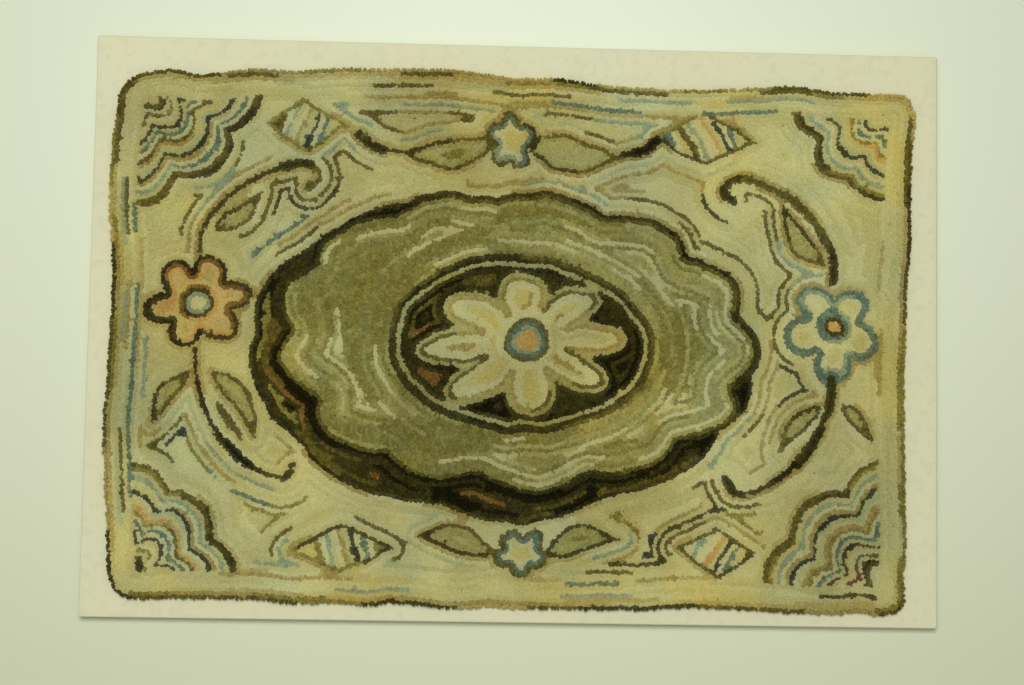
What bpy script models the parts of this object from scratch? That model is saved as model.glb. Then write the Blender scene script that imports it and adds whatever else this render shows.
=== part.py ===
"""A hooked rug fixed to a cloth-covered mounting board, lying on its back.

Metres, +Z up. The origin is the middle of the board's back. The rug's pile faces up, +X runs to
the right along the long side and +Y to the rug's top edge.
"""

import math

import bmesh
import bpy

MM = 0.001

BOARD_WIDTH = 1.065
BOARD_HEIGHT = 0.725
BOARD_THICKNESS = 0.020
BOARD_EDGE_RADIUS = 0.0025
BOARD_EDGE_SEGMENTS = 3

RUG_WIDTH = 0.998
RUG_HEIGHT = 0.660
RUG_THICKNESS = 0.009
RUG_GAP = 0.0003
# The rug sits a little low and to the left on its board.
RUG_SHIFT_X = -0.0065
RUG_SHIFT_Y = -0.012

# The pile leans out over the top rim, and the hem is folded tight at the bottom rim.
PILE_RIM_RADIUS = 0.0036
HEM_RIM_RADIUS = 0.0014
RIM_SEGMENTS = 3

# Cells of the rug's face. They close up towards the rim, where the outline needs them.
CELLS_ACROSS = 54
CELLS_UP = 38
CROWDING = 0.62

# How the rug's edge strays from a straight line: (place along the edge, how far out), in
# millimetres from the rug's middle. It was hooked and bound by hand, and no side is straight.
TOP_EDGE = (
    (-485, -4), (-435, 2), (-410, -4), (-335, 5), (-285, 4), (-210, 9), (-84, 11), (-33, 6),
    (-8, 1), (43, 3), (145, -7), (221, -8), (298, -4), (349, 1), (401, -6), (490, -7),
)
BOTTOM_EDGE = (
    (-464, -2), (-415, -4), (-317, -4), (-268, 1), (-219, -1), (-169, 2), (-145, -3), (-58, 5),
    (-33, 0), (16, 3), (166, 2), (216, -2), (416, 4), (441, 1), (467, 6), (485, 2),
)
LEFT_EDGE = (
    (-315, -8), (-225, -5), (-201, -1), (-102, 4), (-77, 1), (72, -3), (172, 5), (223, 4),
    (299, -2), (325, -9),
)
RIGHT_EDGE = (
    (-309, -2), (-284, -4), (-259, -1), (-59, -4), (93, 0), (119, 4), (247, 5), (299, 11),
    (324, 5),
)

# The radius of each corner, by the side of the rug that it is on: (right, up).
CORNER_RADIUS = {
    (False, True): 0.026,
    (True, True): 0.012,
    (False, False): 0.036,
    (True, False): 0.018,
}

# Low swells of the pile: (waves across, waves up, phase in turns, height in millimetres).
SWELLS = (
    (2.3, 0.9, 0.10, 0.35),
    (-1.4, 2.2, 0.45, 0.30),
    (4.1, -1.7, 0.72, 0.22),
    (5.6, 4.8, 0.31, 0.14),
)

OBJECT_NAME = "mounted_hooked_rug"


def clear_scene():
    for obj in list(bpy.data.objects):
        bpy.data.objects.remove(obj)


def finish_material(name, color, roughness):
    """A Principled material of that colour, given to the solid as its only slot."""
    material = bpy.data.materials.new(name)
    material.use_nodes = True
    shader = material.node_tree.nodes["Principled BSDF"]
    shader.inputs["Base Color"].default_value = (*color, 1.0)
    shader.inputs["Roughness"].default_value = roughness
    shader.inputs["Metallic"].default_value = 0.0
    return material


def smoothstep(share):
    share = min(max(share, 0.0), 1.0)
    return share * share * (3 - 2 * share)


def read_edge(table, along):
    """How far out an edge strays at that place along it, in metres, eased between its rows."""
    along = along / MM
    if along <= table[0][0]:
        return table[0][1] * MM
    for (start, out_here), (end, out_there) in zip(table, table[1:]):
        if along <= end:
            share = smoothstep((along - start) / (end - start))
            return (out_here + (out_there - out_here) * share) * MM
    return table[-1][1] * MM


def crowd(share):
    """Moves a grid line at that share of the way from the middle, -1 to 1, towards the rim."""
    return share * (1 - CROWDING) + math.sin(share * math.pi / 2) * CROWDING


def round_corner(x, y):
    """Draws a point of the plain rectangle in to where the nearest corner is round."""
    radius = CORNER_RADIUS[x > 0, y > 0]
    reach_x = abs(x) - (RUG_WIDTH / 2 - radius)
    reach_y = abs(y) - (RUG_HEIGHT / 2 - radius)
    if reach_x <= 0 or reach_y <= 0:
        return x, y
    shrink = max(reach_x, reach_y) / math.hypot(reach_x, reach_y)
    in_x = reach_x * (1 - shrink)
    in_y = reach_y * (1 - shrink)
    return x - math.copysign(in_x, x), y - math.copysign(in_y, y)


def stray(x, y):
    """Moves a point with the uneven edges, fully at the rim and not at all in the middle."""
    share_x = x / (RUG_WIDTH / 2)
    share_y = y / (RUG_HEIGHT / 2)
    side = RIGHT_EDGE if share_x > 0 else LEFT_EDGE
    end = TOP_EDGE if share_y > 0 else BOTTOM_EDGE
    return x + read_edge(side, y) * share_x, y + read_edge(end, x) * share_y


def swell(x, y):
    """The pile's height above its mean at a point, in metres."""
    height = 0.0
    for waves_across, waves_up, phase, size in SWELLS:
        turns = waves_across * x / RUG_WIDTH + waves_up * y / RUG_HEIGHT + phase
        height += size * MM * math.sin(turns * 2 * math.pi)
    return height


def build_board():
    bpy.ops.mesh.primitive_cube_add(size=1, location=(0, 0, BOARD_THICKNESS / 2))
    board = bpy.context.object
    board.name = "mounting_board"
    board.dimensions = (BOARD_WIDTH, BOARD_HEIGHT, BOARD_THICKNESS)
    bpy.ops.object.transform_apply(location=False, rotation=False, scale=True)
    edges = board.modifiers.new("soft_edges", "BEVEL")
    edges.width = BOARD_EDGE_RADIUS
    edges.segments = BOARD_EDGE_SEGMENTS
    edges.use_clamp_overlap = False
    board.data.materials.append(finish_material("board_cloth", (0.64, 0.62, 0.41), 0.9))
    return board


def shape_rug(mesh):
    """Fills the mesh with the rug: an uneven face, a wall down to the board and a flat back."""
    bm = bmesh.new()
    weights = bm.edges.layers.float.new("bevel_weight_edge")
    bmesh.ops.create_grid(bm, x_segments=CELLS_ACROSS, y_segments=CELLS_UP, size=1)
    for vert in bm.verts:
        x = crowd(vert.co.x) * RUG_WIDTH / 2
        y = crowd(vert.co.y) * RUG_HEIGHT / 2
        x, y = stray(*round_corner(x, y))
        vert.co = (x, y, RUG_THICKNESS + swell(x, y))
    pile_rim = [edge for edge in bm.edges if edge.is_boundary]
    walls = bmesh.ops.extrude_edge_only(bm, edges=pile_rim)["geom"]
    for vert in (item for item in walls if isinstance(item, bmesh.types.BMVert)):
        vert.co.z = 0.0
    hem_rim = [edge for edge in bm.edges if edge.is_boundary]
    bmesh.ops.holes_fill(bm, edges=hem_rim)
    for edge in pile_rim:
        edge[weights] = 1.0
    for edge in hem_rim:
        edge[weights] = HEM_RIM_RADIUS / PILE_RIM_RADIUS
    bmesh.ops.recalc_face_normals(bm, faces=bm.faces)
    bm.to_mesh(mesh)
    bm.free()


def build_rug():
    mesh = bpy.data.meshes.new("rug")
    shape_rug(mesh)
    mesh.materials.append(finish_material("wool_pile", (0.42, 0.38, 0.19), 0.95))
    mesh.shade_smooth()
    rug = bpy.data.objects.new("rug", mesh)
    rug.location = (RUG_SHIFT_X, RUG_SHIFT_Y, BOARD_THICKNESS + RUG_GAP)
    bpy.context.scene.collection.objects.link(rug)
    rim = rug.modifiers.new("rolled_rims", "BEVEL")
    rim.limit_method = "WEIGHT"
    rim.width = PILE_RIM_RADIUS
    rim.segments = RIM_SEGMENTS
    rim.use_clamp_overlap = False
    return rug


def collect(parts):
    """Puts the parts in a collection named for the object, under one empty at the origin."""
    collection = bpy.data.collections.new(OBJECT_NAME)
    bpy.context.scene.collection.children.link(collection)
    root = bpy.data.objects.new(OBJECT_NAME + "_origin", None)
    collection.objects.link(root)
    for part in parts:
        for holder in list(part.users_collection):
            holder.objects.unlink(part)
        collection.objects.link(part)
        part.parent = root


def main():
    clear_scene()
    collect([build_board(), build_rug()])


main()
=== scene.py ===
"""The looks of a hooked rug on its mounting board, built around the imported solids.

The pile is made the way such a rug is hooked. The pattern is drawn on the ground cloth, each part
of it is filled with rows, and each row is a run of small wool loops, cut from strip after strip.
Places are metres in the row frame. The pattern is drawn in millimetres from the rug's middle,
+X to the right and +Y to its top edge.
"""

import math
from collections import namedtuple

import bmesh
import bpy
import numpy as np
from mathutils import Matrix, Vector
from mathutils.bvhtree import BVHTree

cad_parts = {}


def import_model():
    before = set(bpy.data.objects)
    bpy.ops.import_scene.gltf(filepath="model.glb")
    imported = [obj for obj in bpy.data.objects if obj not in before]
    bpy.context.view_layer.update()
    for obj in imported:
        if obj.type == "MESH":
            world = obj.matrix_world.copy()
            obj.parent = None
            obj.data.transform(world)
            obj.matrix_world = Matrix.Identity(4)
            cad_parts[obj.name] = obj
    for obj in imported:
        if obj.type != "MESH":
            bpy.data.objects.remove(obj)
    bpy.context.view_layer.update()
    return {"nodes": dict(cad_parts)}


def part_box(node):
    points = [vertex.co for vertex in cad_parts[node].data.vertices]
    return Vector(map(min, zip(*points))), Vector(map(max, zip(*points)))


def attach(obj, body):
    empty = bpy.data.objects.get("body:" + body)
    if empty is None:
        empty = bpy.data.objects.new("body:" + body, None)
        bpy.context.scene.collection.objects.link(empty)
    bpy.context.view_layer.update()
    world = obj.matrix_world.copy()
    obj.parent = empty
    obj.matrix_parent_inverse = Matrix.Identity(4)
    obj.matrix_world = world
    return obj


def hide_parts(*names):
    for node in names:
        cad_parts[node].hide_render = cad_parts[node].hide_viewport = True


MM = 0.001
SEED = 26

# The camera, from the board's middle at the height of its face.
CAMERA_PLACE = (-0.083, -0.1617, 2.1316)
CAMERA_TURN = (3.916, -2.157, 0.992)
CAMERA_LENS = 60
CAMERA_SENSOR = 36

# Hooking, in millimetres.
CELL = 1.0
CANVAS_MARGIN = 5
EDGE_REACH = 60
ROW_PITCH = 4.8
LOOP_PITCH = 2.8
LEAST_ALONG = 1.9
LEAST_ACROSS = 3.3
WIDEST_GAP = 3.0
SHORTEST_ROW = 2.0
SHORT_ROW = 14.0
ECHO_LENGTH = 110.0
RUN_LENGTHS = (35, 120)
PLACE_JITTER = 0.3
STRAY = 0.55
RIM_ROWS = 7
DEEPEST = 120
# Rows that follow a guide lie this much wider apart, for where its waves bring them together.
ROW_SPREAD = 0.86
# A hand's drawing wavers in swells of this length, each by this much, in millimetres.
WAVERS = ((90, 7), (24, 3.0))

# One loop: how long it is along its row and how wide across it, as shares of the pitches.
LOOP_LENGTH = 2.3
LOOP_WIDTH = 1.8
LOOP_SIDES = 6
SHOULDER_WIDTH = 0.62
SHOULDER_HEIGHT = 0.955
# Loops are packed so tight that only their tops show. Those along the rim show down to the cloth,
# and those of the row behind them a little less far.
FOOT_HEIGHT = 0.76
RIM_FOOT_HEIGHT = 0.06
SECOND_FOOT_HEIGHT = 0.35
RIM_FOOT_WIDTH = 0.64
RIM_SHOULDER_HEIGHT = 0.84
# How many rows in from the edge each of those two goes.
RIM_REACH = 0.95
SECOND_REACH = 2
# Over this many rows the loops lean out, by this many millimetres at the edge.
LEAN_ROWS = 1.5
LEAN_OUT = 0.8
# How much loops differ: shares of length and width, then millimetres, radians and millimetres.
LENGTH_JITTER = 0.12
WIDTH_JITTER = 0.10
HEIGHT_JITTER = 0.16
TURN_JITTER = 0.40
LEAN_JITTER = 0.35
# Painted shade: how much of its colour a loop's foot, shoulder and crown keep, darker low down as
# shade between packed loops.
LOOP_PAINTED_SHADES = (0.94, 0.99, 1.0)
# Each loop keeps to its own patch of the bake, clear of its neighbours' patches.
UV_SHARE = 0.40

BURLAP_THICKNESS = 1.5
HEM_THICKNESS = 3.0
HEM_WIDTH = 9.0
HEM_INSET = 2.0
HEM_POINTS = 420

CLOTH_THICKNESS = 0.0008
CLOTH_EDGE_RADIUS = 0.0020
CLOTH_TURN_IN = 0.046
CLOTH_CELLS = (76, 52)
PANEL_CLEARANCE = 0.0002
FOLD_LENGTH = 0.021
FOLD_THICKNESS = 0.0006
FOLD_LEAN = 0.004
FOLD_PROUD = 0.8
FOLD_SUNK = 0.4
# Each weave's thread pitch, how uneven its colour is, and its depth.
COTTON_WEAVE = (0.0006, 0.03, 0.0002)
BURLAP_WEAVE = (0.0016, 0.12, 0.0005)

# Wool strips, as they read in even light: red, green and blue from 0 to 255.
TONES = {
    "cream": (188, 184, 124),
    "wheat": (187, 182, 119),
    "oat": (180, 174, 108),
    "straw": (184, 173, 99),
    "sage": (167, 170, 112),
    "sand": (168, 154, 87),
    "tan": (154, 139, 74),
    "olive": (126, 117, 51),
    "taupe": (156, 150, 82),
    "drab": (148, 139, 75),
    "moss": (144, 142, 79),
    "stone": (166, 161, 97),
    "flint": (126, 121, 59),
    "bark": (88, 80, 29),
    "umber": (54, 50, 16),
    "black": (22, 20, 4),
    "ink": (38, 42, 36),
    "rust": (118, 88, 38),
    "amber": (181, 150, 82),
    "apricot": (187, 166, 98),
    "blue": (92, 110, 84),
    "pale_blue": (138, 148, 108),
    "wine": (104, 46, 28),
}
BOARD_CREAM = (219, 217, 178)
BURLAP_BROWN = (170, 152, 104)
PANEL_GREY = (176, 172, 150)
FLOOR_PALE = (230, 237, 213)
# Painted shade: the floor's colour where the painted pool of light has faded.
FLOOR_PAINTED_DIM = (206, 211, 179)
# Painted light on the floor: a pool of light painted into its colour, palest at this place, by the
# board's top edge, and painted darker over this range of metres, more slowly to the sides.
FLOOR_PAINTED_LIT = (0.0, 0.35, 0)
FLOOR_PAINTED_FADES = (0.1, 0.9)
FLOOR_PAINTED_STRETCH = (0.75, 1.0, 1.0)
FLOOR_SIZE = 12

# Lamps: place, size and power. The first stands past the rug's top edge and gives the shadows.
LAMPS = {"key": ((-0.25, 0.62, 3.1), 1.0, 61), "fill": ((-0.3, -0.4, 3.1), 3.4, 19)}
ROOM_LIGHT = 0.258

# What each part of the pattern is hooked in: the strips of its rows from the outside in, and
# those of all the rows after. A word that comes more than once is used that much more often.
STRIPS = {
    "ground": (
        (
            "oat sand cream tan", "cream oat", "tan sage pale_blue bark oat", "cream oat",
            "bark umber olive tan bark", "cream oat", "blue oat tan olive ink", "cream",
            "umber oat olive tan", "cream oat", "bark tan pale_blue oat",
        ),
        "wheat oat",
    ),
    "rim": (
        (
            "umber bark olive olive tan bark sand", "tan sand olive oat bark sand",
            "oat cream sand",
            "cream sage pale_blue oat straw", "oat bark umber cream cream tan", "cream oat straw",
            "oat cream olive tan blue",
        ),
        "cream",
    ),
    "shadow": (("black umber", "umber black bark"), "black umber umber bark rust olive"),
    "medallion": (("umber black", "umber bark", "flint taupe"), "taupe drab moss flint flint"),
    "oval": (
        ("stone taupe", "black umber", "umber black", "rust bark umber", "black", "umber olive"),
        "black umber bark rust",
    ),
    "great_flower": (("bark tan olive", "cream", "cream oat", "tan straw"), "cream straw"),
    "great_eye": (("blue", "pale_blue"), "amber"),
    "left_flower": (
        ("umber black", "umber rust amber", "amber apricot straw", "apricot amber sand"),
        "apricot amber straw sage apricot",
    ),
    "left_eye": (("blue pale_blue",), "cream"),
    "right_flower": (("blue", "blue pale_blue", "cream"), "cream cream oat"),
    "right_eye": (("umber",), "amber"),
    "bud": (("umber bark", "pale_blue blue"), "cream straw"),
    "leaf": (("umber bark", "taupe", "stone taupe"), "olive sage stone"),
    "edge": ((), "umber bark olive bark"),
    "fan": (
        (
            "umber bark", "bark olive umber", "cream oat", "pale_blue blue", "cream", "oat tan",
            "ink umber", "cream sage", "oat", "amber tan straw", "bark olive", "cream", "blue",
            "cream oat", "ink", "straw oat", "cream", "wine bark olive", "oat cream",
        ),
        None,
    ),
    "lozenge": (
        (
            "cream oat", "pale_blue", "cream", "bark olive", "straw", "oat cream", "blue", "cream",
            "ink", "oat", "amber tan", "cream",
        ),
        None,
    ),
    "stroke": ((), "umber black bark"),
}
# Where its noise is below this, the ground and the rim are hooked in plain wool, without lines.
BUSY_FROM = -0.1
PLAIN = "wheat oat"
# The rows that are hooked in their own strips even there.
LINED_ROWS = {"ground": 1, "rim": 2}
# The medallion's own rows are crossed by paler streaks, where its noise is above this.
STREAK_FROM = -0.12
STREAK_SHARE = 0.72
STREAK_LENGTHS = (22, 75)
STREAKS = "cream wheat stone"
# Where it is below this, those rows are darker.
SHADED_BELOW = -0.3
SHADED = "flint olive"
# How long the swells of that noise are, in millimetres.
STREAK_SWELL = 70
# How much of its neighbours' colour a loop takes on, and over how many millimetres.
BLEND = 0.33
BLEND_REACH = 3
# How much loops of one tone differ: dark wool shows its flecks more than pale wool does.
DARK_GRAIN = 0.26
PALE_GRAIN = 0.02
GRAIN_FALL = (0.32, 0.9)
GRAIN_LIMIT = 1.8
SHADE_JITTER = 0.018
# Dirt and fading: swells in millimetres with their shares, then how much the noise does.
SOIL_SWELLS = ((130, 1.0), (38, 0.6))
SOIL = 0.15
WARMTH_SWELLS = ((110, 1.0), (30, 0.5))
WARMTH = (0.07, 0.0, -0.18)
# Wool fibres: noise that flecks the colour, between two powers of it, and roughens it.
FLECK_SCALE = 600
FLECK_POWERS = (0.54, 1.46)
FIBRE_SCALE = 900
FIBRE_DEPTH = 0.0004

# Strokes are this many rows wide where their noise is above this.
BOLD_ROWS = 2.2
BOLD_FROM = 0.1
BOLD_SWELL = 40

Form = namedtuple("Form", "kind guide")
Loops = namedtuple("Loops", "x y angle tone shade kind")


def light_of(tone):
    """A 0 to 255 tone as the linear colour that a shader takes."""
    share = np.array(tone, float) / 255
    return np.where(share <= 0.04045, share / 12.92, ((share + 0.055) / 1.055) ** 2.4)


def value_noise(shape, swell, rng):
    """Smooth noise from -1 to 1 over a grid, whose swells are about so many cells wide."""
    knots = rng.uniform(-1, 1, [int(size / swell) + 3 for size in shape])
    for axis, size in enumerate(shape):
        place = np.arange(size) / swell
        first = place.astype(int)
        share = place - first
        share = share * share * (3 - 2 * share)
        knots = np.moveaxis(knots, axis, 0)
        share = share.reshape(-1, *[1] * (knots.ndim - 1))
        knots = knots[first] * (1 - share) + knots[first + 1] * share
        knots = np.moveaxis(knots, 0, axis)
    return knots


def depth_inside(mask, reach=DEEPEST):
    """How far each cell of a mask lies from the nearest cell outside it, in cells."""
    gap = np.where(np.pad(mask, 1), float(reach), 0.0).astype(np.float32)
    for way in (gap, gap[:, ::-1]):
        for column in range(1, gap.shape[1]):
            way[:, column] = np.minimum(way[:, column], way[:, column - 1] + 1)
    gap = gap**2
    best = gap.copy()
    for shift in range(1, min(reach, gap.shape[0] - 1) + 1):
        np.minimum(best[shift:], gap[:-shift] + shift**2, out=best[shift:])
        np.minimum(best[:-shift], gap[shift:] + shift**2, out=best[:-shift])
    return np.maximum(np.sqrt(best)[1:-1, 1:-1] - 0.5, 0)


class Canvas:
    """A grid of small cells over the rug: how high the pile is at each and what it holds."""

    def __init__(self, rug, rng):
        low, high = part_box("rug")
        self.middle = (low + high) / 2
        self.foot = low.z
        half_x = math.ceil((high.x - low.x) / MM / 2) + CANVAS_MARGIN
        half_y = math.ceil((high.y - low.y) / MM / 2) + CANVAS_MARGIN
        self.origin = np.array((-half_x, -half_y), float)
        across = np.arange(-half_x, half_x + CELL, CELL)
        up = np.arange(-half_y, half_y + CELL, CELL)
        self.x, self.y = np.meshgrid(across, up)
        self.top = self.read_tops(rug, high.z + 1)
        self.inside = np.isfinite(self.top)
        self.edge = depth_inside(self.inside, EDGE_REACH)
        self.rng = rng
        self.spot = (self.waver(self.x), self.waver(self.y))
        self.kinds = []
        self.held = np.full(self.x.shape, -1)

    def read_tops(self, rug, above):
        """The top of the solid over each cell, in metres, and nothing past its edge."""
        tree = BVHTree.FromObject(rug, bpy.context.evaluated_depsgraph_get())
        down = Vector((0, 0, -1))
        tops = []
        for x, y in zip(self.x.ravel(), self.y.ravel()):
            hit = tree.ray_cast((self.middle.x + x * MM, self.middle.y + y * MM, above), down)[0]
            tops.append(hit.z if hit else math.nan)
        return np.array(tops).reshape(self.x.shape)

    def waver(self, values):
        """The values moved a little this way and that, as a hand draws them."""
        for swell, reach in WAVERS:
            values = values + value_noise(values.shape, swell, self.rng) * reach
        return values

    def paint(self, kind, mask, guide=None):
        """Gives the cells of a mask to a new part. Its rows follow the guide, or its outline."""
        self.held[mask & self.inside] = len(self.kinds)
        self.kinds.append(Form(kind, guide))

    def about(self, middle, turn=0.0):
        """Each cell's place about a point, in axes turned by so many degrees."""
        x = self.spot[0] - middle[0]
        y = self.spot[1] - middle[1]
        cos = math.cos(math.radians(turn))
        sin = math.sin(math.radians(turn))
        return x * cos + y * sin, y * cos - x * sin

    def cell(self, x, y):
        """The row and column of the cell at a place."""
        column = np.clip(np.rint((x - self.origin[0]) / CELL), 0, self.x.shape[1] - 1)
        row = np.clip(np.rint((y - self.origin[1]) / CELL), 0, self.x.shape[0] - 1)
        return row.astype(int), column.astype(int)


def oval(canvas, middle, radii, turn=0.0, lobes=0, depth=0.0):
    """Cells in an oval, whose edge may bulge in so many lobes."""
    u, v = canvas.about(middle, turn)
    u = u / radii[0]
    v = v / radii[1]
    bulge = np.abs(np.cos(np.arctan2(v, u) * lobes / 2)) if lobes else 0
    return np.hypot(u, v) < 1 + depth * bulge


def flower(canvas, middle, radii, petals, notch, turn=0.0):
    """Cells in a flower of round petals, which part at notch, a share of the way out."""
    u, v = canvas.about(middle, turn)
    u = u / radii[0]
    v = v / radii[1]
    petal = np.abs(np.cos(np.arctan2(v, u) * petals / 2)) ** 0.7
    return np.hypot(u, v) < notch + (1 - notch) * petal


def leaf(canvas, stem, tip, width, bend=0.0):
    """Cells in a pointed leaf from stem to tip, bent sideways by so much at its middle."""
    length = math.dist(stem, tip)
    turn = math.degrees(math.atan2(tip[1] - stem[1], tip[0] - stem[0]))
    u, v = canvas.about(stem, turn)
    share = np.clip(u / length, 0, 1)
    half = width / 2 * np.sin(math.pi * share**0.8)
    return np.abs(v - bend * np.sin(math.pi * share)) < half


def draw_fan(canvas, corner, radius, lobes):
    """A quarter fan about a corner, in rows that run round it."""
    u, v = canvas.about(corner)
    bulge = np.abs(np.sin(np.arctan2(v, u) * lobes * 2))
    inward = radius * (1 - FAN_SCALLOP + FAN_SCALLOP * bulge) - np.hypot(u, v)
    canvas.paint("fan", inward > 0, inward * ROW_SPREAD)


def draw_lozenge(canvas, middle, half, slant):
    """A diamond of straight rows that lean by so many degrees, with one row round it."""
    u, v = canvas.about(middle)
    share = 1 - np.abs(u) / half[0] - np.abs(v) / half[1]
    inward = share * half[0] * half[1] / math.hypot(*half)
    canvas.paint("edge", inward > 0, inward)
    across = canvas.about(middle, slant)[1]
    canvas.paint("lozenge", inward > ROW_PITCH, (across + max(half)) * ROW_SPREAD)


def rounded(points, step=1.0):
    """A smooth line through a few points, with a point every step."""
    points = np.array(points, float)
    ends = np.vstack([2 * points[0] - points[1], points, 2 * points[-1] - points[-2]])
    line = []
    for a, b, c, d in zip(ends, ends[1:], ends[2:], ends[3:]):
        count = max(2, int(math.dist(b, c) / step))
        t = np.arange(count)[:, None] / count
        line.append(
            0.5 * (2 * b + (c - a) * t + (2 * a - 5 * b + 4 * c - d) * t**2)
            + 0.5 * (3 * b - a - 3 * c + d) * t**3
        )
    return np.vstack([*line, points[-1:]])


# The drawing. All its sizes are millimetres from the rug's middle.
MEDALLION_MIDDLE = (4, -2)
MEDALLION_RADII = (286, 180)
SHADOW_MIDDLE = (-20, -26)
SHADOW_RADII = (304, 190)
OVAL_MIDDLE = (14, -6)
OVAL_RADII = (156, 100)
# Flowers: name, middle, radii, petals, how far out these part, turn, and the eye's radii.
FLOWERS = (
    ("great", OVAL_MIDDLE, (130, 83), 8, 0.42, 6, (24, 20)),
    ("left", (-394, 38), (66, 62), 6, 0.62, 12, (15, 14)),
    ("right", (402, 16), (64, 64), 5, 0.60, -20, (13, 14)),
)
# Buds: middle, radii and turn.
BUDS = (((-8, 250), (34, 36), 18), ((12, -262), (34, 32), 50))
FAN_SCALLOP = 0.10
# Fans: corner, radius and lobes.
FANS = (
    ((-498, 328), 178, 3),
    ((498, 330), 160, 3),
    ((-498, -328), 168, 3),
    ((500, -330), 186, 3),
)
# Lozenges: middle, half their size, and how their rows lean.
LOZENGES = (
    ((-262, 262), (58, 34), 62),
    ((238, 258), (66, 36), 118),
    ((-206, -266), (62, 32), 110),
    ((262, -264), (54, 32), 60),
)
# Leaves: stem, tip, width and bend.
LEAVES = (
    ((-28, 246), (-148, 232), 40, 9),
    ((12, 248), (134, 236), 42, -8),
    ((-16, -262), (-112, -246), 36, -7),
    ((40, -264), (140, -252), 38, 8),
    ((-372, -52), (-318, -132), 26, 6),
    ((-398, -52), (-446, -118), 24, -5),
    ((-376, 128), (-318, 182), 26, -5),
    ((388, -70), (330, -140), 27, -5),
    ((412, -70), (456, -124), 23, 5),
    ((392, 106), (336, 172), 28, 6),
)
STROKES = (
    ((-392, 100), (-388, 132), (-352, 176), (-300, 206), (-262, 214), (-246, 198), (-258, 184)),
    ((-394, -20), (-392, -56), (-372, -112), (-330, -160), (-286, -178), (-270, -162)),
    ((402, 80), (398, 118), (364, 168), (316, 200), (276, 206), (262, 190), (274, 178)),
    ((400, -44), (396, -84), (366, -140), (318, -180), (282, -188), (268, -172)),
    ((-148, 232), (-176, 236), (-198, 252)),
    ((134, 236), (160, 240), (176, 254)),
)


def draw_pattern(canvas):
    """Paints the parts of the pattern, each over those before it."""
    canvas.paint("ground", canvas.inside)
    canvas.paint("shadow", oval(canvas, SHADOW_MIDDLE, SHADOW_RADII, -4, lobes=9, depth=0.05))
    canvas.paint(
        "medallion", oval(canvas, MEDALLION_MIDDLE, MEDALLION_RADII, -2, lobes=13, depth=0.08)
    )
    canvas.paint("oval", oval(canvas, OVAL_MIDDLE, OVAL_RADII, -2))
    for name, middle, radii, petals, notch, turn, eye in FLOWERS:
        canvas.paint(name + "_flower", flower(canvas, middle, radii, petals, notch, turn))
        canvas.paint(name + "_eye", oval(canvas, middle, eye))
    for stem, tip, width, bend in LEAVES:
        canvas.paint("leaf", leaf(canvas, stem, tip, width, bend))
    for middle, radii, turn in BUDS:
        canvas.paint("bud", flower(canvas, middle, radii, 5, 0.66, turn))
    for middle, half, slant in LOZENGES:
        draw_lozenge(canvas, middle, half, slant)
    for corner, radius, lobes in FANS:
        draw_fan(canvas, corner, radius, lobes)
    rim = canvas.edge < RIM_ROWS * ROW_PITCH
    strokes = [rounded(points) for points in STROKES]
    bold = value_noise(canvas.x.shape, BOLD_SWELL, canvas.rng) > BOLD_FROM
    reach = np.where(bold, BOLD_ROWS, 1) * ROW_PITCH / 2
    for line in strokes:
        band = np.zeros(canvas.inside.shape, bool)
        row, column = canvas.cell(line[:, 0], line[:, 1])
        band[row, column] = True
        near = depth_inside(~band, 8) < reach
        canvas.paint("stroke", near & ~rim)
    canvas.paint("rim", rim, canvas.edge)
    return strokes


# Marching squares: which sides of a cell the level crosses, for each set of corners above it.
# Sides are 0 below, 1 right, 2 above and 3 left. Corners count 1, 2, 4 and 8 from below left.
CROSSINGS = {
    1: ((3, 0),), 2: ((0, 1),), 3: ((3, 1),), 4: ((1, 2),), 5: ((3, 2), (0, 1)), 6: ((0, 2),),
    7: ((3, 2),), 8: ((2, 3),), 9: ((2, 0),), 10: ((2, 1), (0, 3)), 11: ((2, 1),),
    12: ((1, 3),), 13: ((1, 0),), 14: ((0, 3),),
}
# The two corners of each side, in rows and columns from the cell's first.
SIDES = (((0, 0), (0, 1)), ((0, 1), (1, 1)), ((1, 0), (1, 1)), ((0, 0), (1, 0)))


def trace_level(field, level):
    """The lines along which a grid has that value, each as columns and rows of its points."""
    over = field > level
    known = np.isfinite(field)
    known = known[:-1, :-1] & known[:-1, 1:] & known[1:, 1:] & known[1:, :-1]
    code = over[:-1, :-1] + 2 * over[:-1, 1:] + 4 * over[1:, 1:] + 8 * over[1:, :-1]
    rows, columns = np.nonzero(known & (code > 0) & (code < 15))
    wide = field.shape[1]
    places = {}
    links = {}

    for row, column in zip(rows.tolist(), columns.tolist()):
        for pair in CROSSINGS[int(code[row, column])]:
            keys = []
            for side in pair:
                start, end = [(row + up, column + right) for up, right in SIDES[side]]
                key = 2 * (start[0] * wide + start[1]) + side % 2
                if key not in places:
                    low = field[start]
                    high = field[end]
                    share = float((level - low) / (high - low))
                    places[key] = (
                        start[1] + (end[1] - start[1]) * share,
                        start[0] + (end[0] - start[0]) * share,
                    )
                keys.append(key)
            links.setdefault(keys[0], []).append(keys[1])
            links.setdefault(keys[1], []).append(keys[0])
    return [np.array([places[key] for key in chain]) for chain in chained(links)]


def chained(links):
    """Joins linked pairs into chains, the open ones first."""
    used = set()
    ends = [key for key, others in links.items() if len(others) == 1]
    for first in ends + list(links):
        if first in used:
            continue
        chain = [first]
        used.add(first)
        while ahead := [key for key in links[chain[-1]] if key not in used]:
            chain.append(ahead[0])
            used.add(ahead[0])
        if len(chain) > 2 and chain[0] in links[chain[-1]]:
            chain.append(chain[0])
        yield chain


def lengths_along(line):
    """How far along a line each of its points is."""
    return np.concatenate([[0.0], np.cumsum(np.hypot(*np.diff(line, axis=0).T))])


def points_along(line, along, places):
    """The x and the y of a line at places along it."""
    return np.stack([np.interp(places, along, line[:, axis]) for axis in (0, 1)])


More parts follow.
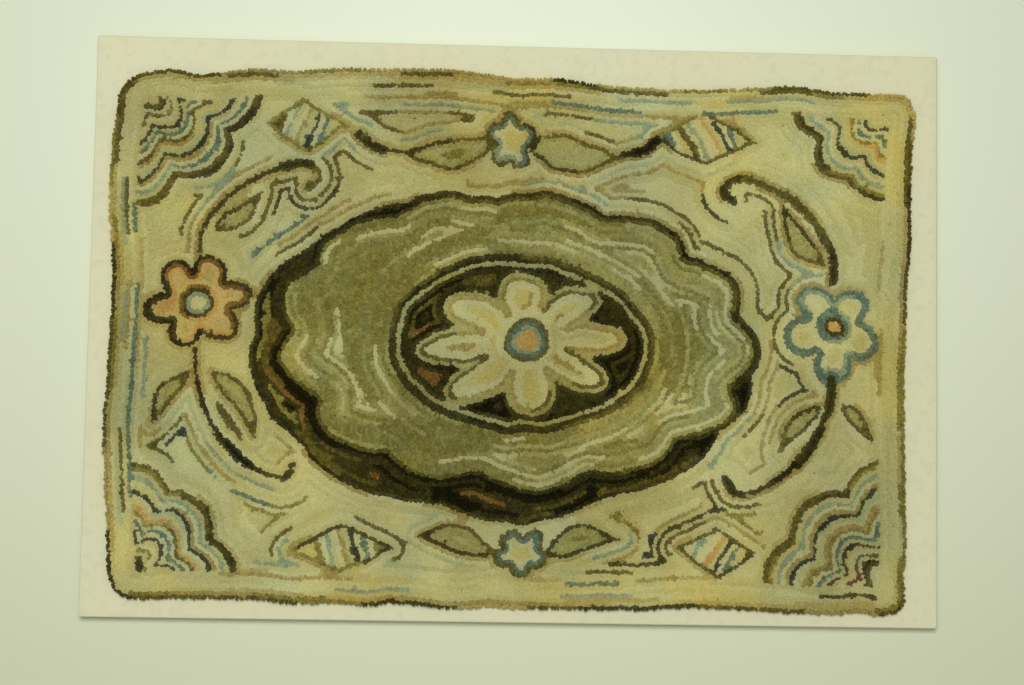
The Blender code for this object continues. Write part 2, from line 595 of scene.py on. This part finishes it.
def smoothed(line):
    """A line with the small steps of the grid rubbed off, its ends kept."""
    if len(line) < 5:
        return line
    line = line.copy()
    for _ in range(2):
        line[1:-1] = (line[:-2] + 2 * line[1:-1] + line[2:]) / 4
    return line


class Hooking:
    """The loops hooked so far. A new one finds its place only where there is room."""

    def __init__(self, canvas, rng):
        self.canvas = canvas
        self.rng = rng
        self.loops = []
        self.bins = {}
        self.streak = value_noise(canvas.x.shape, STREAK_SWELL, rng)

    def near(self, x, y, reach):
        """The loops in the bins round a place, so many bins each way."""
        column = int(x // LEAST_ACROSS)
        row = int(y // LEAST_ACROSS)
        for bin_x in range(column - reach, column + reach + 1):
            for bin_y in range(row - reach, row + reach + 1):
                for number in self.bins.get((bin_x, bin_y), ()):
                    yield self.loops[number]

    def has_room(self, x, y, angle):
        """True if no loop stands too near that place, ahead or to the side."""
        cos = math.cos(angle)
        sin = math.sin(angle)
        for loop in self.near(x, y, 1):
            apart_x = loop[0] - x
            apart_y = loop[1] - y
            along = apart_x * cos + apart_y * sin
            across = apart_y * cos - apart_x * sin
            if math.hypot(along / LEAST_ALONG, across / LEAST_ACROSS) < 1:
                return False
        return True

    def add(self, x, y, angle, tone, shade, kind):
        place = (int(x // LEAST_ACROSS), int(y // LEAST_ACROSS))
        self.bins.setdefault(place, []).append(len(self.loops))
        self.loops.append((x, y, angle, tone, shade, kind))

    def beside(self, x, y, kind):
        """The tone and shade of the nearest loop of that part, if one stands close by."""
        best = None
        nearest = LEAST_ACROSS * 2
        for loop in self.near(x, y, 2):
            apart = math.hypot(loop[0] - x, loop[1] - y)
            if loop[5] == kind and apart < nearest:
                best = loop[3], loop[4]
                nearest = apart
        return best

    def pick_strip(self, kind, row, x, y):
        """The next strip in that row of a part: its tone, how much lighter it is, its length."""
        rows, rest = STRIPS[kind]
        words = rows[row % len(rows)] if rest is None or row < len(rows) else rest
        length = self.rng.uniform(*RUN_LENGTHS)
        noise = self.streak[self.canvas.cell(np.array(x), np.array(y))]
        if row >= LINED_ROWS.get(kind, row + 1) and noise < BUSY_FROM:
            words = PLAIN
        inner = kind == "medallion" and row >= len(rows)
        if inner and noise < SHADED_BELOW:
            words = SHADED
        if inner and row % 2 and noise > STREAK_FROM and self.rng.random() < STREAK_SHARE:
            words = STREAKS
            length = self.rng.uniform(*STREAK_LENGTHS)
        words = words.split()
        tone = words[self.rng.integers(len(words))]
        return tone, 1 + SHADE_JITTER * self.rng.standard_normal(), length

    def hook_row(self, line, kind, row):
        """Hooks one row along a line, strip after strip."""
        along = lengths_along(line)
        if along[-1] < SHORTEST_ROW:
            return
        if kind == "ground" and along[-1] < ECHO_LENGTH:
            row = DEEPEST
        count = max(1, round(along[-1] / LOOP_PITCH))
        places = (np.arange(count) + 0.5) * along[-1] / count
        places += self.rng.uniform(-PLACE_JITTER, PLACE_JITTER, count)
        x, y = points_along(line, along, places) + STRAY * self.rng.standard_normal((2, count))
        ahead = points_along(line, along, places + LOOP_PITCH / 2)
        dx, dy = ahead - points_along(line, along, places - LOOP_PITCH / 2)
        angles = np.arctan2(dy, dx)
        until = -1.0
        for place, at_x, at_y, angle in zip(places, x, y, angles):
            if place > until:
                tone, shade, length = self.pick_strip(kind, row, at_x, at_y)
                if along[-1] < SHORT_ROW:
                    tone, shade = self.beside(at_x, at_y, kind) or (tone, shade)
                until = place + length
            if self.has_room(at_x, at_y, angle):
                self.add(at_x, at_y, angle, tone, shade, kind)

    def fill_gaps(self):
        """Adds a loop at each bare spot, of the same wool as the one beside it."""
        canvas = self.canvas
        bare = canvas.inside & (canvas.edge > ROW_PITCH / 3)
        reach = math.ceil(WIDEST_GAP)
        steps = np.arange(-reach, reach + 1)
        for x, y, *_ in self.loops:
            cover(bare, canvas, x, y, steps)
        for row, column in zip(*np.nonzero(bare)):
            if not bare[row, column]:
                continue
            x = canvas.x[row, column]
            y = canvas.y[row, column]
            kind = canvas.kinds[canvas.held[row, column]].kind
            tone, shade = self.beside(x, y, kind) or self.pick_strip(kind, 0, x, y)[:2]
            self.add(x, y, self.rng.uniform(0, math.pi), tone, shade, kind)
            cover(bare, canvas, x, y, steps)


def cover(bare, canvas, x, y, steps):
    """Takes the cells near a loop off the bare ones."""
    row, column = canvas.cell(np.array(x), np.array(y))
    rows = np.clip(row + steps, 0, bare.shape[0] - 1)
    columns = np.clip(column + steps, 0, bare.shape[1] - 1)
    apart_x = canvas.x[0, columns] - x
    apart_y = canvas.y[rows, 0] - y
    near = apart_x[None, :] ** 2 + apart_y[:, None] ** 2 < WIDEST_GAP**2
    patch = bare[rows[0] : rows[-1] + 1, columns[0] : columns[-1] + 1]
    if patch.shape == near.shape:
        patch[near] = False


def row_fields(canvas):
    """For each part of the pattern, the field whose even steps its rows follow."""
    fields = []
    for number, form in enumerate(canvas.kinds):
        mask = canvas.held == number
        if form.kind == "stroke" or not mask.any():
            fields.append(None)
            continue
        if form.guide is not None:
            fields.append(np.where(mask, form.guide, np.nan))
            continue
        rows = np.nonzero(mask.any(1))[0]
        columns = np.nonzero(mask.any(0))[0]
        window = np.s_[rows[0] : rows[-1] + 1, columns[0] : columns[-1] + 1]
        field = np.zeros(mask.shape)
        field[window] = depth_inside(mask[window])
        fields.append(field)
    return fields


def hook_rug(canvas, strokes, rng):
    """Hooks the whole pattern and returns its loops."""
    hooking = Hooking(canvas, rng)
    fields = row_fields(canvas)
    for line in strokes:
        hooking.hook_row(line, "stroke", 0)
    deepest = int(DEEPEST * 2 / ROW_PITCH)
    for row in range(deepest):
        level = (row + 0.5) * ROW_PITCH
        for form, field in zip(canvas.kinds, fields):
            if field is None or not np.nanmax(field) > level:
                continue
            for line in trace_level(field, level):
                line = smoothed(line) * CELL + canvas.origin
                hooking.hook_row(line, form.kind, row)
    hooking.fill_gaps()
    return Loops(*[np.array(column) for column in zip(*hooking.loops)])


def loop_form():
    """One loop of unit size: its points, the painted shade of each, and its faces, foot, shoulder
    and crown.
    """
    turns = np.arange(LOOP_SIDES) * 2 * math.pi / LOOP_SIDES
    ring = np.stack([np.cos(turns), np.sin(turns)], 1)
    points = np.zeros((2 * LOOP_SIDES + 1, 3))
    points[:LOOP_SIDES, :2] = ring
    points[:LOOP_SIDES, 2] = FOOT_HEIGHT
    points[LOOP_SIDES:-1, :2] = ring * SHOULDER_WIDTH
    points[LOOP_SIDES:-1, 2] = SHOULDER_HEIGHT
    points[-1, 2] = 1
    # Painted shade: the foot and shoulder points are darkened, as shade between packed loops.
    painted_shades = np.repeat(LOOP_PAINTED_SHADES, (LOOP_SIDES, LOOP_SIDES, 1))
    faces = []
    for side in range(LOOP_SIDES):
        after = (side + 1) % LOOP_SIDES
        faces.append((side, after, LOOP_SIDES + after, LOOP_SIDES + side))
    for side in range(LOOP_SIDES):
        after = (side + 1) % LOOP_SIDES
        faces.append((LOOP_SIDES + side, LOOP_SIDES + after, 2 * LOOP_SIDES))
    return points, painted_shades, faces


def shape_loops(canvas, loops, rng):
    """The points of every loop, in metres, and their colours."""
    unit, painted_shades, _ = loop_form()
    count = len(loops.x)
    row, column = canvas.cell(loops.x, loops.y)
    top = canvas.top[row, column]
    top = np.where(np.isfinite(top), top, np.nanmin(canvas.top))
    foot = canvas.foot + BURLAP_THICKNESS * MM
    half_length = LOOP_PITCH / 2 * LOOP_LENGTH * (1 + LENGTH_JITTER * rng.standard_normal(count))
    half_width = ROW_PITCH / 2 * LOOP_WIDTH * (1 + WIDTH_JITTER * rng.standard_normal(count))
    height = top - foot + MM * HEIGHT_JITTER * rng.standard_normal(count)
    angle = loops.angle + TURN_JITTER * rng.standard_normal(count)
    lean = LEAN_JITTER * rng.standard_normal((2, count))
    outward = lean_of_rim(canvas, row, column)
    inward = (canvas.edge[row, column] / ROW_PITCH)[:, None]
    at_rim = inward < RIM_REACH
    rise = np.tile(unit[:, 2], (count, 1))
    wide = np.ones((count, len(unit)))
    rise[:, :LOOP_SIDES] = np.where(inward < SECOND_REACH, SECOND_FOOT_HEIGHT, FOOT_HEIGHT)
    rise[:, :LOOP_SIDES] = np.where(at_rim, RIM_FOOT_HEIGHT, rise[:, :LOOP_SIDES])
    rise[:, LOOP_SIDES:-1] = np.where(at_rim, RIM_SHOULDER_HEIGHT, SHOULDER_HEIGHT)
    wide[:, :LOOP_SIDES] = np.where(at_rim, RIM_FOOT_WIDTH, 1)
    cos = np.cos(angle)[:, None]
    sin = np.sin(angle)[:, None]
    along = half_length[:, None] * unit[:, 0]
    across = half_width[:, None] * unit[:, 1]
    turned_x = along * cos - across * sin
    turned_y = along * sin + across * cos
    x = turned_x * wide + (lean[0] + outward[0])[:, None] * rise
    y = turned_y * wide + (lean[1] + outward[1])[:, None] * rise
    points = np.empty((count, len(unit), 3))
    points[..., 0] = canvas.middle.x + (loops.x[:, None] + x) * MM
    points[..., 1] = canvas.middle.y + (loops.y[:, None] + y) * MM
    points[..., 2] = foot + height[:, None] * rise
    flat_x = loops.x[:, None] + turned_x * UV_SHARE
    flat_y = loops.y[:, None] + turned_y * UV_SHARE
    flat = np.stack([flat_x, flat_y], 2)
    return points, flat, colour_loops(canvas, loops, painted_shades, row, column, rng)


def lean_of_rim(canvas, row, column):
    """How far the loops near the rug's edge lean out over it."""
    slope_y, slope_x = np.gradient(canvas.edge)
    steep = np.hypot(slope_x, slope_y) + 1e-6
    near = np.clip(1 - canvas.edge / (LEAN_ROWS * ROW_PITCH), 0, 1) * LEAN_OUT
    lean = -np.stack([slope_x, slope_y]) / steep * near
    return lean[:, row, column]


def layered(canvas, layers, rng):
    """Noise in several swells over the canvas, each with its share."""
    return sum(value_noise(canvas.x.shape, swell, rng) * share for swell, share in layers)


def colour_loops(canvas, loops, painted_shades, row, column, rng):
    """The colour of every point of every loop: its strip's, with dirt, fading and stains, and with
    painted shade darkening each loop's foot and shoulder.
    """
    names = sorted(TONES)
    table = np.array([light_of(TONES[name]) for name in names])
    colour = table[[names.index(tone) for tone in loops.tone]]
    count = len(loops.x)
    colour = colour * loops.shade[:, None]
    grain = np.clip(GRAIN_FALL[0] - colour.mean(1) * GRAIN_FALL[1], PALE_GRAIN, DARK_GRAIN)
    differing = rng.standard_normal(count).clip(-GRAIN_LIMIT, GRAIN_LIMIT)
    colour = colour * np.exp(grain * differing)[:, None]
    around = spread_about(canvas, colour, row, column)
    colour = colour * (1 - BLEND) + around * BLEND
    soil = layered(canvas, SOIL_SWELLS, rng)[row, column][:, None]
    warmth = layered(canvas, WARMTH_SWELLS, rng)[row, column][:, None]
    colour = colour * (1 + SOIL * soil) * (1 + warmth * np.array(WARMTH))
    # Painted shade: each loop's foot and shoulder are darkened by their painted shares.
    return colour[:, None, :] * painted_shades[None, :, None]


def spread_about(canvas, colour, row, column):
    """The mean colour of the wool round each loop, where stray fibres cross from row to row."""
    total = np.zeros((*canvas.x.shape, 4))
    np.add.at(total, (row, column), np.hstack([colour, np.ones((len(colour), 1))]))
    for _ in range(2 * BLEND_REACH**2):
        for axis in (0, 1):
            total = (np.roll(total, 1, axis) + 2 * total + np.roll(total, -1, axis)) / 4
    total = total[row, column]
    return total[:, :3] / total[:, 3:]


def placed(name, data):
    """A new object of that data, in the scene."""
    item = bpy.data.objects.new(name, data)
    bpy.context.scene.collection.objects.link(item)
    return item


def mesh_of_loops(name, points, flat, colours):
    """One mesh of many loops, with their colours and a flat map for baking."""
    _, _, faces = loop_form()
    count, size = points.shape[:2]
    corners = np.concatenate([np.array(face) for face in faces])
    lengths = np.array([len(face) for face in faces])
    every = (np.arange(count)[:, None] * size + corners).ravel()
    starts = np.concatenate([[0], np.cumsum(np.tile(lengths, count))[:-1]])
    mesh = bpy.data.meshes.new(name)
    mesh.vertices.add(count * size)
    mesh.vertices.foreach_set("co", points.ravel())
    mesh.loops.add(len(every))
    mesh.loops.foreach_set("vertex_index", every)
    mesh.polygons.add(count * len(faces))
    mesh.polygons.foreach_set("loop_start", starts)
    mesh.polygons.foreach_set("use_smooth", np.ones(count * len(faces), bool))
    mesh.update(calc_edges=True)
    mesh.validate()
    layer = mesh.color_attributes.new("strip_colour", "FLOAT_COLOR", "POINT")
    alpha = np.ones((count * size, 1))
    layer.data.foreach_set("color", np.hstack([colours.reshape(-1, 3), alpha]).ravel())
    flat = flat.reshape(-1, 2)
    flat = (flat - flat.min(0)) / np.ptp(flat, 0)
    uv = mesh.uv_layers.new(name="OFBake")
    uv.data.foreach_set("uv", flat[every].ravel())
    return placed(name, mesh)


# Which piece a part's loops go to. The ground is more than one piece may hold, so it is cut in
# upright bands, by the place of its loops from left to right.
PIECES = {
    "rim": "pile_rim",
    "shadow": "pile_darks",
    "oval": "pile_darks",
    "stroke": "pile_darks",
    "medallion": "pile_medallion",
    "fan": "pile_fans",
    "lozenge": "pile_fans",
}
GROUND_BANDS = ("pile_ground_left", "pile_ground_middle", "pile_ground_right")
GROUND_CUTS = (-175, 175)


def build_pile(canvas, rng):
    """The hooked pile, in pieces that each hold a part of the pattern."""
    strokes = draw_pattern(canvas)
    loops = hook_rug(canvas, strokes, rng)
    points, flat, colours = shape_loops(canvas, loops, rng)
    names = np.array([PIECES.get(kind, "pile_flowers") for kind in loops.kind])
    bands = np.array(GROUND_BANDS)[np.searchsorted(GROUND_CUTS, loops.x)]
    names = np.where(loops.kind == "ground", bands, names)
    wool = wool_material()
    pieces = []
    for name in sorted(set(names)):
        mine = names == name
        piece = mesh_of_loops(name, points[mine], flat[mine], colours[mine])
        piece.data.materials.append(wool)
        pieces.append(piece)
    return pieces


class Shader:
    """A Principled material and short ways to add nodes to it."""

    def __init__(self, name, color, roughness, sheen=0.0):
        self.material = bpy.data.materials.new(name)
        self.material.use_nodes = True
        self.nodes = self.material.node_tree.nodes
        self.links = self.material.node_tree.links
        self.surface = self.nodes["Principled BSDF"]
        self.finish(Base_Color=(*color, 1), Roughness=roughness, Specular_IOR_Level=0.2)
        self.finish(Sheen_Weight=sheen, Sheen_Roughness=0.6)

    def finish(self, **values):
        """Sets the surface's own numbers."""
        for name, value in values.items():
            self.surface.inputs[name.replace("_", " ")].default_value = value

    def feed(self, socket, value):
        """Sets a socket to a number, or joins it to another node's output."""
        if isinstance(value, bpy.types.NodeSocket):
            self.links.new(value, socket)
        else:
            socket.default_value = value

    def add(self, kind, **inputs):
        """A node of that kind, its inputs set to numbers or joined to other nodes' outputs."""
        node = self.nodes.new(kind)
        for name, value in inputs.items():
            self.feed(node.inputs[name.replace("_", " ")], value)
        return node

    def places(self, scale=(1, 1, 1), middle=(0, 0, 0)):
        """Object coordinates from a middle, stretched."""
        source = self.add("ShaderNodeTexCoord").outputs["Object"]
        node = self.add("ShaderNodeMapping", Vector=source)
        node.inputs["Location"].default_value = [-share * at for share, at in zip(scale, middle)]
        node.inputs["Scale"].default_value = scale
        return node.outputs["Vector"]

    def noise(self, vector, scale, detail=2.0):
        node = self.add("ShaderNodeTexNoise", Vector=vector, Scale=scale, Detail=detail)
        return node.outputs["Fac"]

    def maths(self, operation, first, second):
        node = self.nodes.new("ShaderNodeMath")
        node.operation = operation
        for socket, value in zip(node.inputs, (first, second)):
            self.feed(socket, value)
        return node.outputs[0]

    def spread(self, value, low, high, ends=(0, 1)):
        """A value that runs between two ends mapped to lie between low and high."""
        node = self.add(
            "ShaderNodeMapRange",
            Value=value, From_Min=ends[0], From_Max=ends[1], To_Min=low, To_Max=high,
        )
        return node.outputs["Result"]

    def blended(self, value, ends, first, last):
        """A tone that goes from the first to the last while a value runs between two ends."""
        mix = self.nodes.new("ShaderNodeMix")
        mix.data_type = "RGBA"
        self.links.new(self.spread(value, 0, 1, ends), mix.inputs["Factor"])
        mix.inputs["A"].default_value = (*light_of(first), 1)
        mix.inputs["B"].default_value = (*light_of(last), 1)
        return mix.outputs["Result"]

    def scaled(self, colour, value):
        """A colour made lighter or darker by a value."""
        node = self.nodes.new("ShaderNodeVectorMath")
        node.operation = "SCALE"
        self.feed(node.inputs[0], colour)
        self.feed(node.inputs["Scale"], value)
        return node.outputs["Vector"]

    def colour_from(self, socket):
        self.links.new(socket, self.surface.inputs["Base Color"])

    def bump_from(self, height, distance, strength=1.0):
        node = self.add("ShaderNodeBump", Height=height, Distance=distance, Strength=strength)
        self.links.new(node.outputs["Normal"], self.surface.inputs["Normal"])


def wool_material():
    """Cut wool: each loop has its strip's colour, flecked and roughened by its fibres."""
    wool = Shader("wool_strips", (0.4, 0.37, 0.18), 0.95)
    wool.finish(Specular_IOR_Level=0.05, Diffuse_Roughness=1.0)
    strip = wool.add("ShaderNodeAttribute")
    strip.attribute_name = "strip_colour"
    place = wool.places()
    fleck = wool.spread(wool.noise(place, FLECK_SCALE), *FLECK_POWERS)
    flecked = wool.add("ShaderNodeGamma", Color=strip.outputs["Color"], Gamma=fleck)
    wool.colour_from(flecked.outputs["Color"])
    wool.bump_from(wool.noise(place, FIBRE_SCALE, 3), FIBRE_DEPTH)
    return wool.material


def woven(shader, weave, tone):
    """Plain weave: threads both ways at its pitch, some thicker, in a slightly uneven tone."""
    pitch, slub, depth = weave
    turns = 1 / pitch
    place = shader.places()
    split = shader.add("ShaderNodeSeparateXYZ", Vector=place)
    sway = shader.maths("MULTIPLY", shader.noise(place, 60), pitch * 3)
    threads = []
    for axis in ("X", "Y", "Z"):
        along = shader.maths("ADD", split.outputs[axis], sway)
        wave = shader.maths("SINE", shader.maths("MULTIPLY", along, turns * 2 * math.pi), 0)
        threads.append(shader.spread(wave, 0.5, 1.0))
    crossed = shader.maths("MULTIPLY", shader.maths("MULTIPLY", *threads[:2]), threads[2])
    long_x = shader.noise(shader.places((6, 420, 420)), 1.0, 2)
    long_y = shader.noise(shader.places((420, 6, 6)), 1.0, 2)
    slubs = shader.maths("ADD", long_x, long_y)
    height = shader.maths("ADD", crossed, slubs)
    tint = shader.maths(
        "MULTIPLY",
        shader.spread(shader.maths("MULTIPLY", slubs, 0.5), 1 - slub, 1 + slub),
        shader.spread(shader.noise(place, 5, 3), 0.97, 1.03),
    )
    shader.colour_from(shader.scaled(tuple(light_of(tone)), tint))
    shader.bump_from(height, depth)
    return shader.material


def extrude_rings(bm, half, rings, layer):
    """Carries a sheet's open edge on through rings: how far in from a rectangle, and how high."""
    for inset, height in rings:
        rim = [edge for edge in bm.edges if edge.is_boundary]
        made = bmesh.ops.extrude_edge_only(bm, edges=rim)["geom"]
        for vert in (item for item in made if isinstance(item, bmesh.types.BMVert)):
            share = vert[layer]
            vert.co = (share.x * (half[0] - inset), share.y * (half[1] - inset), height)


def quarter(radius, start, middle, steps=4):
    """Rings round a quarter circle that starts at so many degrees, about a height."""
    angles = [math.radians(start + 90 * step / steps) for step in range(1, steps + 1)]
    return [(radius - radius * math.sin(turn), middle + radius * math.cos(turn)) for turn in angles]


def new_piece(name, bm):
    """An object of what a bmesh holds, shaded smooth, at the origin."""
    mesh = bpy.data.meshes.new(name)
    bmesh.ops.recalc_face_normals(bm, faces=bm.faces)
    bm.to_mesh(mesh)
    bm.free()
    mesh.shade_smooth()
    return placed(name, mesh)


def with_modifiers(piece):
    """Makes what a piece's modifiers show its own mesh."""
    dg = bpy.context.evaluated_depsgraph_get()
    mesh = bpy.data.meshes.new_from_object(piece.evaluated_get(dg))
    mesh.name = piece.name
    piece.modifiers.clear()
    piece.data = mesh
    return piece


def build_board_cloth(low, high):
    """Cream cloth pulled over the board's face, down its sides and in over its back."""
    radius = CLOTH_EDGE_RADIUS
    half = (high.x - low.x) / 2, (high.y - low.y) / 2
    bm = bmesh.new()
    layer = bm.verts.layers.float_vector.new("share")
    bmesh.ops.create_grid(bm, x_segments=CLOTH_CELLS[0], y_segments=CLOTH_CELLS[1], size=1)
    for vert in bm.verts:
        vert[layer] = vert.co
        vert.co = (vert.co.x * (half[0] - radius), vert.co.y * (half[1] - radius), high.z)
    rings = quarter(radius, 0, high.z - radius) + quarter(radius, 90, low.z + radius)
    rings += [(CLOTH_TURN_IN / 2, low.z), (CLOTH_TURN_IN, low.z)]
    extrude_rings(bm, half, rings, layer)
    weights = bm.edges.layers.float.new("bevel_weight_edge")
    for edge in bm.edges:
        upright = max(vert.co.z for vert in edge.verts) > low.z + radius / 100
        at_corner = all(min(abs(vert[layer].x), abs(vert[layer].y)) > 0.999 for vert in edge.verts)
        edge[weights] = upright and at_corner
    cloth = new_piece("board_cloth", bm)
    corners = cloth.modifiers.new("corners", "BEVEL")
    corners.limit_method = "WEIGHT"
    corners.width = radius
    corners.segments = 3
    thick = cloth.modifiers.new("cloth", "SOLIDIFY")
    thick.thickness = CLOTH_THICKNESS
    thick.offset = -1
    with_modifiers(cloth)
    shader = Shader("board_cloth", light_of(BOARD_CREAM), 0.9, sheen=0.1)
    cloth.data.materials.append(woven(shader, COTTON_WEAVE, BOARD_CREAM))
    return cloth


def build_panel(low, high):
    """The stiff panel that the cloth is pulled over. Only its back shows."""
    inset = CLOTH_THICKNESS + PANEL_CLEARANCE
    size = (high - low) - Vector((2 * inset,) * 3)
    bpy.ops.mesh.primitive_cube_add(size=1, location=(low + high) / 2)
    panel = bpy.context.object
    panel.name = "board_panel"
    panel.dimensions = size
    bpy.ops.object.transform_apply(location=True, rotation=False, scale=True)
    edges = panel.modifiers.new("edges", "BEVEL")
    edges.width = 0.001
    edges.segments = 2
    shader = Shader("panel_board", light_of(PANEL_GREY), 0.85)
    place = shader.places()
    shade = shader.spread(shader.noise(place, 14, 5), 0.90, 1.08)
    shader.colour_from(shader.scaled(tuple(light_of(PANEL_GREY)), shade))
    shader.bump_from(shader.noise(place, 700, 3), 0.0002)
    panel.data.materials.append(shader.material)
    return panel


def build_folds(low, high):
    """The cloth's folded corners: a flat tuck against each end of the board's short sides."""
    bm = bmesh.new()
    tall = high.z - low.z - 2 * CLOTH_EDGE_RADIUS
    for side_x in (-1, 1):
        for side_y in (-1, 1):
            face = high.x if side_x > 0 else low.x
            end = (high.y if side_y > 0 else low.y) - side_y * CLOTH_EDGE_RADIUS
            made = bmesh.ops.create_cube(bm, size=1)["verts"]
            for vert in made:
                lean = FOLD_LEAN * (vert.co.z + 0.5)
                depth = FOLD_PROUD if vert.co.x * side_x > 0 else -FOLD_SUNK
                x = face + side_x * FOLD_THICKNESS * depth
                y = end - side_y * (FOLD_LENGTH - lean) * (0.5 - vert.co.y * side_y)
                vert.co = (x, y, (low.z + high.z) / 2 + vert.co.z * tall)
    bmesh.ops.bevel(
        bm, geom=list(bm.edges), offset=0.0002, segments=2, affect="EDGES", profile=0.5
    )
    return new_piece("board_corner_tucks", bm)


def outline_of(canvas, inset):
    """The rug's outline drawn in by so much, as even steps with their outward directions."""
    lines = trace_level(canvas.edge, inset)
    line = max(lines, key=len) * CELL + canvas.origin
    for _ in range(4):
        line = smoothed(line)
    along = lengths_along(line)
    points = points_along(line, along, np.arange(HEM_POINTS) * along[-1] / HEM_POINTS).T
    ahead = np.roll(points, -2, 0) - np.roll(points, 2, 0)
    ahead /= np.hypot(*ahead.T)[:, None]
    outward = np.stack([ahead[:, 1], -ahead[:, 0]], 1)
    if np.sum(points * outward) < 0:
        outward = -outward
    return points, outward


def build_burlap(canvas):
    """The ground cloth: one thin sheet with its hem turned under, which the loops stand on."""
    points, outward = outline_of(canvas, HEM_INSET)
    half = HEM_THICKNESS / 2
    section = [(-half + half * math.sin(turn), half + half * math.cos(turn))
               for turn in np.radians(np.arange(0, 181, 30))]
    section = [(-HEM_WIDTH, BURLAP_THICKNESS), (-HEM_WIDTH * 0.8, HEM_THICKNESS * 0.9), *section]
    bm = bmesh.new()
    rings = []
    for inward, height in section:
        ring = []
        for x, y in points + outward * inward:
            place = (canvas.middle.x + x * MM, canvas.middle.y + y * MM, canvas.foot + height * MM)
            ring.append(bm.verts.new(place))
        rings.append(ring)
    for upper, lower in zip(rings, rings[1:]):
        for here in range(HEM_POINTS):
            after = (here + 1) % HEM_POINTS
            bm.faces.new((upper[here], upper[after], lower[after], lower[here]))
    bm.edges.ensure_lookup_table()
    open_edges = [edge for edge in bm.edges if edge.is_boundary]
    for ring in (rings[0], rings[-1]):
        held = set(ring)
        edges = [edge for edge in open_edges if set(edge.verts) <= held]
        bmesh.ops.triangle_fill(bm, edges=edges, use_beauty=True)
    burlap = new_piece("burlap_ground", bm)
    shader = Shader("burlap", light_of(BURLAP_BROWN), 0.95)
    burlap.data.materials.append(woven(shader, BURLAP_WEAVE, BURLAP_BROWN))
    return burlap


def build_floor():
    bpy.ops.mesh.primitive_plane_add(size=FLOOR_SIZE)
    floor = bpy.context.object
    floor.name = "floor"
    shader = Shader("floor", light_of(FLOOR_PALE), 0.85)
    # The floor's colour holds a painted pool of light: pale at the lit place, painted darker away
    # from it.
    away = shader.add("ShaderNodeVectorMath", Vector=shader.places(FLOOR_PAINTED_STRETCH, FLOOR_PAINTED_LIT))
    away.operation = "LENGTH"
    shader.colour_from(shader.blended(away.outputs["Value"], FLOOR_PAINTED_FADES, FLOOR_PALE, FLOOR_PAINTED_DIM))
    floor.data.materials.append(shader.material)


def add_light(name, place, size, power):
    """A soft square lamp that looks at the board's middle."""
    data = bpy.data.lights.new(name, "AREA")
    data.size = size
    data.energy = power
    lamp = placed(name, data)
    lamp.location = place
    lamp.rotation_euler = (-Vector(place)).to_track_quat("-Z", "Y").to_euler()


def light_scene():
    for name, (place, size, power) in LAMPS.items():
        add_light(name, place, size, power)
    world = bpy.data.worlds.new("room")
    world.use_nodes = True
    background = world.node_tree.nodes["Background"]
    background.inputs["Color"].default_value = (1, 1, 1, 1)
    background.inputs["Strength"].default_value = ROOM_LIGHT
    bpy.context.scene.world = world
    bpy.context.scene.view_settings.view_transform = "Standard"


def add_camera(face_height):
    data = bpy.data.cameras.new("camera")
    data.lens = CAMERA_LENS
    data.sensor_width = CAMERA_SENSOR
    camera = placed("camera", data)
    camera.location = Vector(CAMERA_PLACE) + Vector((0, 0, face_height))
    camera.rotation_euler = [math.radians(angle) for angle in CAMERA_TURN]
    bpy.context.scene.camera = camera


def main():
    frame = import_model()
    low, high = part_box("mounting_board")
    rng = np.random.default_rng(SEED)

    add_camera(high.z)
    light_scene()
    build_floor()

    cloth = build_board_cloth(low, high)
    panel = build_panel(low, high)
    tucks = build_folds(low, high)
    tucks.data.materials.append(cloth.data.materials[0])
    for piece in (cloth, panel, tucks):
        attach(piece, "root")
        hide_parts("mounting_board")

    canvas = Canvas(frame["nodes"]["rug"], rng)
    burlap = build_burlap(canvas)
    pile = build_pile(canvas, rng)
    for piece in (burlap, *pile):
        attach(piece, "root")
        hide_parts("rug")


main()
